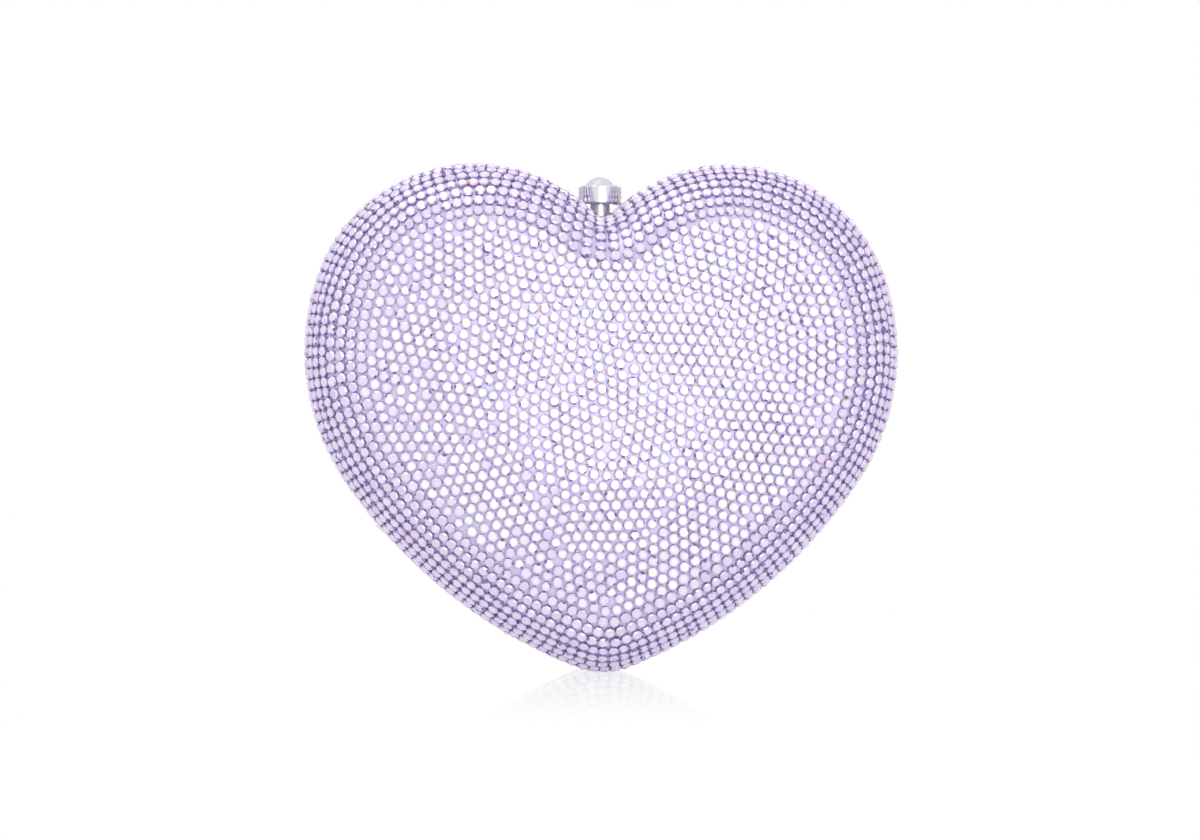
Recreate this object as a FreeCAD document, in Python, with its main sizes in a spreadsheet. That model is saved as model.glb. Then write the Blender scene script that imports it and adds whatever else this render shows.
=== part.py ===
import FreeCAD, Part
import math
import os
import Sketcher
from FreeCAD import Vector

# A heart shaped evening purse: two pressed metal half shells, paved outside with small round stones and
# lined inside, that open like a book on a hinge along the lower left flank. A push button in the notch
# works the catch. Millimetres. X runs to the right, Z up, the front faces -Y, the halves part at Y = 0,
# and the origin lies at the tip of the heart, level with the flat on the lowest stones.

doc = FreeCAD.newDocument("heart_purse")
sheet = doc.addObject("Spreadsheet::Sheet", "Sizes")

# Driving sizes: name, value, what it is. Turns and angles are in degrees, everything else in millimetres.
SIZES = [
    # The outline of the shell's outer face: arcs that run tangent into each other, up the right side from
    # the tip. A turn is the heading of the outline, from +X, where one arc hands over to the next.
    ("tip_radius", 18.6, "round of the tip"),
    ("tip_turn", 22.1, "heading where the tip becomes the flank"),
    ("flank_radius", 127.0, "long bow of the flank"),
    ("flank_turn", 56.1, "heading where the flank becomes the shoulder"),
    ("shoulder_radius", 57.6, "round of the widest part"),
    ("shoulder_turn", 109.2, "heading where the shoulder becomes the lobe"),
    ("lobe_radius", 41.1, "round of the lobe's top"),
    ("notch_radius", 4.3, "hollow round at the bottom of the notch"),
    # The section through one half.
    ("half_depth", 28.7, "from the parting plane to the shell's outer face"),
    ("face_drop", 6.6, "how far the crown falls from its peak to the widest part of the outline"),
    ("face_flat", 0.7, "how much of the crown's peak is flattened"),
    ("edge_round", 16.0, "round between the face and the side wall"),
    ("shell_wall", 1.0, "pressed metal of the shell"),
    ("stone_height", 1.3, "how far the stones stand out of the shell"),
    ("stone_flat", 0.2, "how much of the lowest stones is level, for the purse to stand on"),
    ("bond_gap", 0.1, "line of glue under the stones and under the lining"),
    ("lining_wall", 0.8, "leather of the lining"),
    # The rim of each half.
    ("parting_gap", 0.3, "gap between the closed rims"),
    ("rim_height", 2.6, "from the parting plane to where the shell starts"),
    ("rim_stand", 1.0, "how far the rim stands out of the shell"),
    ("flange_wall", 1.2, "flange of the rim inside the shell"),
    ("flange_length", 4.0, "how far that flange reaches into the shell"),
    ("seat_gap", 0.05, "gap left where two pieces are seated and brazed"),
    # The hinge on the left flank.
    ("hinge_turn", 40.0, "heading of the flank at the middle of the hinge"),
    ("hinge_length", 44.0, "all the knuckles together"),
    ("hinge_inset", 1.95, "pin's line inside the shell's outer face"),
    ("barrel_radius", 1.9, "outside of the knuckles"),
    ("pin_radius", 0.9, "hinge pin"),
    ("pin_play", 0.05, "running play of the pin in the front knuckles"),
    ("pin_grip", 0.01, "play of the pin in the back knuckles that hold it"),
    ("pin_head_radius", 1.4, "peened ends of the pin"),
    ("pin_head", 0.5, "thickness of the peened ends"),
    ("knuckle_gap", 0.3, "gap between neighbouring knuckles"),
    ("web_wall", 1.5, "web that joins a knuckle to its leaf"),
    ("leaf_rise", 2.4, "top of the leaf above the pin's line"),
    ("slot_room", 0.5, "room past each end of the knuckles"),
    ("slot_rise", 3.4, "depth of the gap in the rims, above the pin's line"),
    ("opening_angle", 70.0, "how far the front half opens"),
    ("relief_angle", 2.0, "spare angle between the rims when open"),
    # The push button, with its heights measured from the shell's notch floor.
    ("button_lift", 4.8, "underside of the cap above the notch floor"),
    ("button_travel", 1.5, "stroke of the button"),
    ("button_room", 0.3, "room left under the cap when pressed"),
    ("cap_radius", 5.65, "outside of the button's cap"),
    ("cap_height", 5.0, "side of the cap"),
    ("cap_edge", 0.5, "bevel round the cap's edges"),
    ("dome_radius", 4.1, "foot of the glass dome"),
    ("dome_height", 3.4, "dome from its foot to its top"),
    ("dome_seat", 1.0, "how deep the dome is set in the cap"),
    ("well_room", 0.55, "room round the cap in the well"),
    ("stem_radius", 2.5, "stem of the button"),
    ("stem_play", 0.05, "running play of the stem in its bush"),
    ("spigot_radius", 1.6, "pin of the stem inside the cap"),
    ("spigot_length", 2.5, "depth of that pin"),
    ("pusher_radius", 1.5, "slim foot of the stem that presses the catch"),
    ("pusher_room", 0.4, "room round the foot in the block"),
    ("shoulder_length", 1.0, "stem below its retaining ring"),
    ("ring_radius", 3.4, "retaining ring"),
    ("ring_wall", 0.8, "thickness of the ring"),
    ("ring_groove", 0.6, "depth of the ring's groove in the stem"),
    # The lock inside the notch.
    ("bush_radius", 3.5, "guide bush, outside"),
    ("bush_length", 10.7, "guide bush, end to end"),
    ("bush_room", 0.4, "room round the bush in the front half"),
    ("bush_drop", 0.2, "top of the bush below the floor of the well"),
    ("block_width", 13.0, "lock block, across"),
    ("block_front", 5.0, "lock block, forward of the parting plane"),
    ("block_back", 12.0, "lock block, behind the parting plane"),
    ("block_drop", 14.9, "underside of the block below the notch floor"),
    ("block_floor", 1.5, "floor of the block's chamber"),
    ("block_overlap", 0.5, "how far the block's front half runs into its back half"),
    ("chamber_radius", 4.0, "chamber in the block for the retaining ring"),
    ("lid_room", 1.35, "room between the block and the front rim that swings over it"),
    ("catch_wall", 0.5, "spring strip of the catch"),
    ("catch_width", 7.0, "width of that strip"),
    ("nose_height", 2.7, "nose of the catch above the strip"),
    ("nose_gap", 0.4, "gap between the nose and the striker"),
    ("striker_wall", 1.2, "plate of the striker"),
    ("striker_width", 8.0, "width of the striker"),
    ("striker_gap", 0.6, "gap between the striker and the block"),
    ("striker_lift", 0.5, "lower edge of the striker above the strip"),
    ("foot_length", 5.5, "foot of the striker along the shell"),
    ("foot_wall", 2.0, "foot of the striker below the rim's flange"),
    ("rivet_radius", 0.8, "shank of the rivets"),
    ("rivet_play", 0.05, "play of the rivets in their holes"),
    ("rivet_head_radius", 1.5, "head of the rivets"),
    ("rivet_head", 0.8, "thickness of the heads"),
    ("rivet_spread", 1.9, "each rivet from the middle plane"),
    ("rivet_margin", 3.0, "rivets from the end of the piece they hold"),
    ("rivet_depth", 3.0, "how deep the catch's rivets go into the block"),
    ("window_room", 0.5, "room round the lock in the linings"),
    # One overrun serves every cut.
    ("overrun", 2.0, "how far a cutting tool runs past what it cuts"),
]
KNUCKLE_COUNT = 5

# The crown's peak is at this share of the height of the notch floor.
PEAK_SHARE = 0.63

# The edge's round stays under this share of the tip's radius, which is the tightest wall that it follows.
ROUND_SHARE = 0.95

# Sizes that follow from the driving ones.
FOLLOWING = [
    ("tip_center_z", "stone_height + tip_radius - stone_flat"),
    ("flank_center_x", "(tip_radius - flank_radius) * sin(tip_turn)"),
    ("flank_center_z", "tip_center_z - (tip_radius - flank_radius) * cos(tip_turn)"),
    ("shoulder_center_x", "flank_center_x + (flank_radius - shoulder_radius) * sin(flank_turn)"),
    ("shoulder_center_z", "flank_center_z - (flank_radius - shoulder_radius) * cos(flank_turn)"),
    ("lobe_center_x", "shoulder_center_x + (shoulder_radius - lobe_radius) * sin(shoulder_turn)"),
    ("lobe_center_z", "shoulder_center_z - (shoulder_radius - lobe_radius) * cos(shoulder_turn)"),
    ("notch_reach", "lobe_radius + notch_radius"),
    ("notch_rise", "sqrt(notch_reach^2 - lobe_center_x^2)"),
    ("notch_center_z", "lobe_center_z + notch_rise"),
    ("notch_floor", "notch_center_z - notch_radius"),
    ("face_reach", "lobe_center_x + 2 * lobe_radius"),
    ("face_half", "shoulder_center_x + shoulder_radius"),
    ("face_radius", "(face_half^2 + face_drop^2) / (2 * face_drop)"),
    ("face_height", f"notch_floor * {PEAK_SHARE}"),
    ("skin_start", "rim_height + seat_gap"),
    ("flange_end", "rim_height + flange_length"),
    ("rim_inset", "shell_wall + seat_gap + flange_wall"),
    ("wall_depth", "half_depth - edge_round"),
    ("hinge_x", "-flank_center_x - (flank_radius - hinge_inset) * sin(hinge_turn)"),
    ("hinge_z", "flank_center_z - (flank_radius - hinge_inset) * cos(hinge_turn)"),
    ("knuckle_pitch", f"hinge_length / {KNUCKLE_COUNT}"),
    ("relief_half", "opening_angle / 2 + relief_angle"),
    ("relief_length", "2 * sqrt(2 * flank_radius * (hinge_inset + rim_stand)) + hinge_length / 4"),
    ("well_floor", "button_lift - button_travel - button_room"),
    ("well_radius", "cap_radius + well_room"),
    ("bush_top", "well_floor - bush_drop"),
    ("bush_foot", "bush_top - bush_length"),
    ("ring_top", "bush_foot - seat_gap"),
    ("stem_foot", "ring_top - ring_wall - shoulder_length"),
    ("pusher_foot", "seat_gap - block_drop"),
    ("striker_back", "block_front + striker_gap"),
    ("striker_front", "striker_back + striker_wall"),
    ("nose_back", "striker_front + nose_gap"),
    ("foot_end", "striker_front + foot_length"),
    ("foot_under", "-rim_inset - foot_wall"),
]


def fill_sheet():
    """Writes the driving sizes and then the following ones, each with its name as the cell's alias."""
    cells = [(name, str(size), note) for name, size, note in SIZES]
    cells += [(name, "=" + formula, "follows") for name, formula in FOLLOWING]
    for row, (name, content, note) in enumerate(cells, start=1):
        sheet.set(f"A{row}", name)
        sheet.set(f"B{row}", content)
        sheet.setAlias(f"B{row}", name)
        sheet.set(f"C{row}", note)
    doc.recompute()


def value(expression):
    """The number that an expression on the sheet gives now."""
    return float(sheet.evalExpression(expression))


def bind(sketch, kind, *where, to):
    """Adds a constraint whose size is an expression on the sheet."""
    index = sketch.addConstraint(Sketcher.Constraint(kind, *where, value(to)))
    sketch.setExpression(f"Constraints[{index}]", to)


def pin_point(sketch, geometry, end, x, y):
    """Fixes a point of a sketch at two expressions. One that is 0 puts the point on that axis."""
    for kind, axis, to in (("DistanceX", -2, x), ("DistanceY", -1, y)):
        if to == "0":
            sketch.addConstraint(Sketcher.Constraint("PointOnObject", geometry, end, axis))
        else:
            bind(sketch, kind, geometry, end, to=to)


def new_sketch(body, name, role):
    """A sketch on one of the body's own origin planes."""
    sketch = body.newObject("Sketcher::SketchObject", name)
    plane = next(feature for feature in body.Origin.OriginFeatures if feature.Role == role)
    sketch.AttachmentSupport = [(plane, "")]
    sketch.MapMode = "FlatFace"
    return sketch


def add_arc(sketch, center_x, center_y, radius, start, end):
    """An arc, counterclockwise from one angle in degrees to another."""
    circle = Part.Circle(Vector(center_x, center_y, 0), Vector(0, 0, 1), radius)
    return sketch.addGeometry(Part.ArcOfCircle(circle, math.radians(start), math.radians(end)))


def add_polygon(sketch, points):
    """A closed polygon whose corners are pairs of expressions on the sheet."""
    corners = [Vector(value(x), value(y), 0) for x, y in points]
    lines = []
    for corner, following in zip(corners, corners[1:] + corners[:1]):
        lines.append(sketch.addGeometry(Part.LineSegment(corner, following)))
    for line, following in zip(lines, lines[1:] + lines[:1]):
        sketch.addConstraint(Sketcher.Constraint("Coincident", line, 2, following, 1))
    for line, (x, y) in zip(lines, points):
        pin_point(sketch, line, 1, x, y)


def add_heart(sketch, inset):
    """The closed heart outline, set in from the shell's outer face by an expression."""
    depth = value(inset)
    size = {name: value("Sizes." + name) for name, *_ in SIZES + FOLLOWING}
    lean = math.degrees(math.atan2(size["notch_rise"], size["lobe_center_x"]))
    turns = {
        "flank": (size["tip_turn"] - 90, size["flank_turn"] - 90),
        "shoulder": (size["flank_turn"] - 90, size["shoulder_turn"] - 90),
        "lobe": (size["shoulder_turn"] - 90, 180 - lean),
    }
    tip_spread = size["tip_turn"]
    tip_radius = size["tip_radius"] - depth
    tip = add_arc(sketch, 0, size["tip_center_z"], tip_radius, -90 - tip_spread, -90 + tip_spread)
    notch = add_arc(sketch, 0, size["notch_center_z"], size["notch_radius"] + depth, lean - 180, -lean)
    right, left = [], []
    for name, (start, end) in turns.items():
        center_x = size[f"{name}_center_x"]
        center_z = size[f"{name}_center_z"]
        radius = size[f"{name}_radius"] - depth
        right.append(add_arc(sketch, center_x, center_z, radius, start, end))
        left.append(add_arc(sketch, -center_x, center_z, radius, 180 - end, 180 - start))
        bind(sketch, "Radius", right[-1], to=f"Sizes.{name}_radius - ({inset})")
        sketch.addConstraint(Sketcher.Constraint("Equal", right[-1], left[-1]))
    bind(sketch, "Radius", tip, to=f"Sizes.tip_radius - ({inset})")
    bind(sketch, "Radius", notch, to=f"Sizes.notch_radius + ({inset})")
    joins = [(tip, 2, right[0], 1), (right[0], 2, right[1], 1), (right[1], 2, right[2], 1)]
    joins += [(right[2], 2, notch, 2), (notch, 1, left[2], 1)]
    joins += [(left[2], 2, left[1], 1), (left[1], 2, left[0], 1), (left[0], 2, tip, 1)]
    for join in joins:
        sketch.addConstraint(Sketcher.Constraint("Coincident", *join))
    for order, (name, turn) in enumerate((("flank", "tip"), ("shoulder", "flank"), ("lobe", "shoulder"))):
        reach = f"(Sizes.{name}_radius - ({inset}))"
        x = f"Sizes.{name}_center_x + {reach} * sin(Sizes.{turn}_turn)"
        z = f"Sizes.{name}_center_z - {reach} * cos(Sizes.{turn}_turn)"
        pin_point(sketch, right[order], 1, x, z)
        sketch.addConstraint(Sketcher.Constraint("Symmetric", right[order], 1, left[order], 2, -2))
    reach = f"(Sizes.notch_radius + ({inset})) / Sizes.notch_reach"
    z = f"Sizes.notch_center_z - {reach} * Sizes.notch_rise"
    pin_point(sketch, right[2], 2, f"{reach} * Sizes.lobe_center_x", z)
    sketch.addConstraint(Sketcher.Constraint("Symmetric", right[2], 2, left[2], 1, -2))


def turn_to_back(made):
    """Turns a piece of the front half about Z, which makes it the back half's: the heart is symmetric."""
    made.Placement = FreeCAD.Placement(Vector(), FreeCAD.Rotation(Vector(0, 0, 1), 180))


def heart_pad(body, name, insets, start, end):
    """Pads the band between two heart outlines, or the whole of one, between two depths."""
    sketch = new_sketch(body, name + "_outline", "XZ_Plane")
    sketch.setExpression("AttachmentOffset.Base.z", start)
    for inset in insets:
        add_heart(sketch, inset)
    pad = body.newObject("PartDesign::Pad", name + "_pad")
    pad.Profile = sketch
    pad.setExpression("Length", f"({end}) - ({start})")
    return pad


def heart_prism(name, inset, at_back):
    """The straight sided space inside the outline, as deep as the side wall is straight."""
    body = doc.addObject("PartDesign::Body", name)
    heart_pad(body, name, [inset], "0", "Sizes.wall_depth")
    if at_back:
        turn_to_back(body)
    return body


def heart_form(name, inset, start, at_back):
    """One crowned and rounded half of the heart, set in from the shell's outer face."""
    body = doc.addObject("PartDesign::Body", name)
    depth = f"(Sizes.half_depth - ({inset}))"
    heart_pad(body, name, [inset], start, depth)
    # The crown: everything outside a large sphere is turned away, about an upright line through its center.
    sketch = new_sketch(body, name + "_crown_profile", "YZ_Plane")
    radius = f"(Sizes.face_radius - ({inset}))"
    sketch.setExpression("AttachmentOffset.Base.x", f"{radius} - {depth} - Sizes.face_flat")
    sketch.setExpression("AttachmentOffset.Base.y", "Sizes.face_height")
    brink = f"-sqrt({radius}^2 - Sizes.face_reach^2)"
    outside = f"-{radius} - Sizes.half_depth"
    spread = f"asin(Sizes.face_reach / {radius})"
    degrees = value(spread)
    arc = add_arc(sketch, 0, 0, value(radius), 180 - degrees, 180 + degrees)
    corners = [(brink, "-Sizes.face_reach"), (outside, "-Sizes.face_reach")]
    corners += [(outside, "Sizes.face_reach"), (brink, "Sizes.face_reach")]
    points = [Vector(value(y), value(z), 0) for y, z in corners]
    lines = []
    for first, second in zip(points, points[1:]):
        lines.append(sketch.addGeometry(Part.LineSegment(first, second)))
    joins = [(arc, 2, lines[0], 1), (lines[0], 2, lines[1], 1)]
    joins += [(lines[1], 2, lines[2], 1), (lines[2], 2, arc, 1)]
    for join in joins:
        sketch.addConstraint(Sketcher.Constraint("Coincident", *join))
    sketch.addConstraint(Sketcher.Constraint("Coincident", arc, 3, -1, 1))
    bind(sketch, "Radius", arc, to=radius)
    bind(sketch, "DistanceY", arc, 1, to="Sizes.face_reach")
    sketch.addConstraint(Sketcher.Constraint("Symmetric", arc, 1, arc, 2, -1))
    sketch.addConstraint(Sketcher.Constraint("Horizontal", lines[0]))
    sketch.addConstraint(Sketcher.Constraint("Horizontal", lines[2]))
    sketch.addConstraint(Sketcher.Constraint("Vertical", lines[1]))
    bind(sketch, "DistanceX", lines[1], 1, to=outside)
    crown = body.newObject("PartDesign::Groove", name + "_crown")
    crown.Profile = sketch
    crown.ReferenceAxis = (sketch, ["V_Axis"])
    crown.Midplane = True
    crown.setExpression("Angle", f"2 * {spread}")
    doc.recompute()
    # The round runs along every edge between the crown and the side wall.
    edges = []
    for number, edge in enumerate(crown.Shape.Edges, start=1):
        faces = crown.Shape.ancestorsOfType(edge, Part.Face)
        if {type(face.Surface) for face in faces} == {Part.Sphere, Part.Cylinder}:
            edges.append(f"Edge{number}")
    rounded = body.newObject("PartDesign::Fillet", name + "_round")
    rounded.Base = (crown, edges)
    rounded.setExpression("Radius", f"min(Sizes.edge_round; Sizes.tip_radius * {ROUND_SHARE}) - ({inset})")
    if at_back:
        turn_to_back(body)
    return body


def boolean(kind, name, base, tool):
    """A Part::Cut, Part::Fuse or Part::Common of two objects."""
    made = doc.addObject(f"Part::{kind}", name)
    made.Base = base
    made.Tool = tool
    return made


def fuse_all(name, pieces):
    """One solid from pieces that meet."""
    made = doc.addObject("Part::MultiFuse", name)
    made.Shapes = pieces
    return made


def set_sizes(made, **sizes):
    """Binds properties of an object to expressions on the sheet."""
    for name, expression in sizes.items():
        made.setExpression(name, expression)


def set_base(made, x, y, z):
    """Binds the place of an object to expressions on the sheet."""
    for axis, expression in zip("xyz", (x, y, z)):
        made.setExpression(f"Placement.Base.{axis}", expression)


def lock_box(name, x_half, y_start, y_end, z_start, z_end):
    """A block about the middle plane, with its heights measured from the notch floor."""
    made = doc.addObject("Part::Box", name)
    set_sizes(made, Length=f"2 * ({x_half})", Width=f"({y_end}) - ({y_start})")
    set_sizes(made, Height=f"({z_end}) - ({z_start})")
    set_base(made, f"-({x_half})", y_start, f"Sizes.notch_floor + ({z_start})")
    return made


def lock_rod(name, radius, z_start, z_end, x="0", y="0"):
    """An upright cylinder, with its heights measured from the notch floor."""
    made = doc.addObject("Part::Cylinder", name)
    set_sizes(made, Radius=radius, Height=f"({z_end}) - ({z_start})")
    set_base(made, x, y, f"Sizes.notch_floor + ({z_start})")
    return made


def lock_turned(name, points):
    """A piece turned about the button's axis, from radii and heights above the notch floor."""
    body = doc.addObject("PartDesign::Body", name)
    sketch = new_sketch(body, name + "_profile", "XZ_Plane")
    add_polygon(sketch, points)
    turned = body.newObject("PartDesign::Revolution", name + "_turned")
    turned.Profile = sketch
    turned.ReferenceAxis = (sketch, ["V_Axis"])
    turned.Angle = 360
    set_base(body, "0", "0", "Sizes.notch_floor")
    return body


def strip(name, points, width):
    """A piece of one width across X, from its side view in Y and Z."""
    body = doc.addObject("PartDesign::Body", name)
    sketch = new_sketch(body, name + "_profile", "YZ_Plane")
    add_polygon(sketch, points)
    pad = body.newObject("PartDesign::Pad", name + "_pad")
    pad.Profile = sketch
    pad.SideType = "Symmetric"
    pad.setExpression("Length", width)
    return body


def on_hinge(made, along="0", across="0", rise="0", turn="Sizes.hinge_turn"):
    """Places an object in the hinge's own frame: along the pin, across it in Y and in towards the purse."""
    made.Placement = FreeCAD.Placement(Vector(), FreeCAD.Rotation(Vector(0, 1, 0), value(turn)))
    made.setExpression("Placement.Rotation.Angle", turn)
    x = f"Sizes.hinge_x + ({along}) * cos(Sizes.hinge_turn) + ({rise}) * sin(Sizes.hinge_turn)"
    z = f"Sizes.hinge_z - ({along}) * sin(Sizes.hinge_turn) + ({rise}) * cos(Sizes.hinge_turn)"
    set_base(made, x, across, z)


def hinge_rod(name, radius, start, length):
    """A cylinder along the pin's line."""
    made = doc.addObject("Part::Cylinder", name)
    set_sizes(made, Radius=radius, Height=length)
    on_hinge(made, along=start, turn="Sizes.hinge_turn + 90")
    return made


def hinge_box(name, start, length, across, width, rise, height):
    """A block in the hinge's own frame."""
    made = doc.addObject("Part::Box", name)
    set_sizes(made, Length=length, Width=width, Height=height)
    on_hinge(made, along=start, across=across, rise=rise)
    return made


# Shells, stones and linings


def skin(name, outer, inner, start, tool, at_back):
    """A layer of one half between two insets, less the room that the lock takes."""
    outside = heart_form(name + "_outside", outer, start, at_back)
    inside = heart_form(name + "_inside", inner, f"{start} - Sizes.overrun", at_back)
    layer = boolean("Cut", name + "_layer", outside, inside)
    return boolean("Cut", name, layer, tool)


def button_room(side, radius):
    """The well that the cap sinks into and the hole round the bush, in one half."""
    above = "Sizes.well_floor + Sizes.cap_height + Sizes.stone_height + Sizes.lobe_radius"
    well = lock_rod(f"{side}_well", "Sizes.well_radius", "Sizes.well_floor", above)
    hole = lock_rod(f"{side}_bush_hole", radius, "-Sizes.rim_inset - Sizes.overrun", "Sizes.well_floor")
    return fuse_all(f"{side}_button_room", [well, hole])


def floor_cut(side):
    """All that lies below the origin's level, so that the lowest stones of one half end flat."""
    made = doc.addObject("Part::Box", f"{side}_floor")
    set_sizes(made, Length="2 * Sizes.tip_radius", Width="Sizes.half_depth", Height="Sizes.overrun")
    set_base(made, "-Sizes.tip_radius", "0" if side == "back" else "-Sizes.half_depth", "-Sizes.overrun")
    return made


def lining_window(side):
    """The opening in a lining for the lock block or the striker."""
    high = "Sizes.notch_radius + Sizes.overrun"
    low = "-Sizes.block_drop - Sizes.overrun"
    if side == "back":
        return lock_box("back_window", "Sizes.block_width / 2 + Sizes.window_room", "0",
                        "Sizes.block_back + Sizes.window_room", low, high)
    return lock_box("front_window", "Sizes.striker_width / 2 + Sizes.window_room",
                    "-Sizes.foot_end - Sizes.window_room", "0", low, high)


def half_skins(side, bush_hole):
    """The stones, shell and lining of one half."""
    at_back = side == "back"
    room = button_room(side, bush_hole)
    stone_cuts = fuse_all(f"{side}_stone_cuts", [room, floor_cut(side)])
    lining_start = "Sizes.flange_end + Sizes.seat_gap"
    lining_face = "Sizes.shell_wall + Sizes.bond_gap"
    return {
        f"{side}_stones": skin(f"{side}_stones", "-Sizes.stone_height", "-Sizes.bond_gap",
                               "Sizes.skin_start", stone_cuts, at_back),
        f"{side}_shell": skin(f"{side}_shell", "0", "Sizes.shell_wall", "Sizes.skin_start", room, at_back),
        f"{side}_lining": skin(f"{side}_lining", lining_face, f"{lining_face} + Sizes.lining_wall",
                               lining_start, lining_window(side), at_back),
    }, room


# Rims


def half_rim(side, room):
    """The rim of one half: a band that shows and a flange inside the shell, with a gap for the hinge."""
    body = doc.addObject("PartDesign::Body", f"{side}_rim_band")
    parting = "Sizes.parting_gap / 2"
    heart_pad(body, f"{side}_rim", ["-Sizes.rim_stand", "Sizes.rim_inset"], parting, "Sizes.rim_height")
    flange = ["Sizes.shell_wall + Sizes.seat_gap", "Sizes.rim_inset"]
    heart_pad(body, f"{side}_flange", flange, "Sizes.rim_height", "Sizes.flange_end")
    if side == "back":
        turn_to_back(body)
    slot_half = "(Sizes.hinge_length / 2 + Sizes.slot_room)"
    reach = "(Sizes.flange_end + Sizes.overrun)"
    below = "(Sizes.hinge_inset + Sizes.rim_stand + Sizes.overrun)"
    slot = hinge_box(f"{side}_hinge_slot", f"-{slot_half}", f"2 * {slot_half}", f"-{reach}", f"2 * {reach}",
                     f"-{below}", f"{below} + Sizes.slot_rise")
    spread = f"{below} * tan(Sizes.relief_half)"
    wedge = [("0", "0"), (f"-{spread}", f"-{below}"), (spread, f"-{below}")]
    relief = strip(f"{side}_hinge_relief", wedge, "Sizes.relief_length")
    on_hinge(relief)
    tools = fuse_all(f"{side}_rim_cuts", [slot, relief, room])
    return boolean("Cut", f"{side}_rim", body, tools)


# The hinge


def hinge_leaf(side, numbers, play):
    """A leaf brazed inside the shell where the rim is cut away, with its own knuckles on the pin's line."""
    start = "-Sizes.hinge_length / 2"
    space = heart_prism(f"{side}_leaf_space", "Sizes.shell_wall + Sizes.seat_gap", side == "back")
    plate_across = "-Sizes.flange_end" if side == "front" else "Sizes.skin_start"
    below = "(Sizes.hinge_inset + Sizes.overrun)"
    plate = hinge_box(f"{side}_leaf_plate", start, "Sizes.hinge_length", plate_across,
                      "Sizes.flange_end - Sizes.skin_start", f"-{below}", f"{below} + Sizes.leaf_rise")
    pieces = [boolean("Common", f"{side}_leaf_seated", plate, space)]
    for number in numbers:
        begin = f"{start} + {number} * Sizes.knuckle_pitch + Sizes.knuckle_gap / 2"
        length = "Sizes.knuckle_pitch - Sizes.knuckle_gap"
        web_across = "-Sizes.skin_start" if side == "front" else "0"
        pieces.append(hinge_rod(f"{side}_knuckle_{number}", "Sizes.barrel_radius", begin, length))
        pieces.append(hinge_box(f"{side}_web_{number}", begin, length, web_across, "Sizes.skin_start",
                                "Sizes.barrel_radius - Sizes.web_wall", "Sizes.web_wall"))
    solid = fuse_all(f"{side}_leaf_solid", pieces)
    bore_start = f"{start} - Sizes.overrun"
    bore = hinge_rod(f"{side}_leaf_bore", f"Sizes.pin_radius + {play}", bore_start,
                     "Sizes.hinge_length + 2 * Sizes.overrun")
    return boolean("Cut", f"hinge_leaf_{side}", solid, bore)


def hinge_pin():
    """The pin, peened over at both ends."""
    start = "-Sizes.hinge_length / 2"
    shank = hinge_rod("pin_shank", "Sizes.pin_radius", start, "Sizes.hinge_length")
    near_start = f"{start} - Sizes.pin_head"
    near = hinge_rod("pin_near_head", "Sizes.pin_head_radius", near_start, "Sizes.pin_head")
    far = hinge_rod("pin_far_head", "Sizes.pin_head_radius", "Sizes.hinge_length / 2", "Sizes.pin_head")
    return fuse_all("hinge_pin", [shank, near, far])


# The push button


def button_pieces():
    """The glass dome, the cap that holds it, the stem and the ring that keeps it in its bush."""
    lift = "Sizes.button_lift"
    top = f"{lift} + Sizes.cap_height"
    seat = f"{top} - Sizes.dome_seat"
    lip = "(Sizes.dome_radius + Sizes.seat_gap)"
    spigot = "(Sizes.spigot_radius + Sizes.seat_gap)"
    spigot_top = f"{lift} + Sizes.spigot_length + Sizes.seat_gap"
    edge = "Sizes.cap_radius - Sizes.cap_edge"
    cap = lock_turned("button_cap", [
        ("0", seat), (lip, seat), (lip, top), (edge, top), ("Sizes.cap_radius", f"{top} - Sizes.cap_edge"),
        ("Sizes.cap_radius", f"{lift} + Sizes.cap_edge"), (edge, lift), (spigot, lift),
        (spigot, spigot_top), ("0", spigot_top)])
    ball_radius = "(Sizes.dome_radius^2 + Sizes.dome_height^2) / (2 * Sizes.dome_height)"
    foot = f"{seat} + Sizes.seat_gap"
    ball = doc.addObject("Part::Sphere", "dome_ball")
    set_sizes(ball, Radius=ball_radius)
    set_base(ball, "0", "0", f"Sizes.notch_floor + {foot} + Sizes.dome_height - {ball_radius}")
    blank = lock_rod("dome_blank", "Sizes.dome_radius", foot, f"{foot} + Sizes.dome_height")
    dome = boolean("Common", "button_dome", ball, blank)
    groove = "Sizes.stem_radius - Sizes.ring_groove"
    ring_foot = "Sizes.ring_top - Sizes.ring_wall"
    stem_top = f"{lift} - Sizes.seat_gap"
    stem = lock_turned("button_stem", [
        ("0", f"{lift} + Sizes.spigot_length"), ("Sizes.spigot_radius", f"{lift} + Sizes.spigot_length"),
        ("Sizes.spigot_radius", stem_top), ("Sizes.stem_radius", stem_top),
        ("Sizes.stem_radius", "Sizes.ring_top"), (groove, "Sizes.ring_top"), (groove, ring_foot),
        ("Sizes.stem_radius", ring_foot), ("Sizes.stem_radius", "Sizes.stem_foot"),
        ("Sizes.pusher_radius", "Sizes.stem_foot"), ("Sizes.pusher_radius", "Sizes.pusher_foot"),
        ("0", "Sizes.pusher_foot")])
    ring_bore = f"{groove} + Sizes.seat_gap"
    ring_high = "Sizes.ring_top - Sizes.seat_gap"
    ring_low = f"{ring_foot} + Sizes.seat_gap"
    ring = lock_turned("button_ring", [
        (ring_bore, ring_high), ("Sizes.ring_radius", ring_high), ("Sizes.ring_radius", ring_low),
        (ring_bore, ring_low)])
    return {"button_dome": dome, "button_cap": cap, "button_stem": stem, "button_ring": ring}


# The lock


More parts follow.
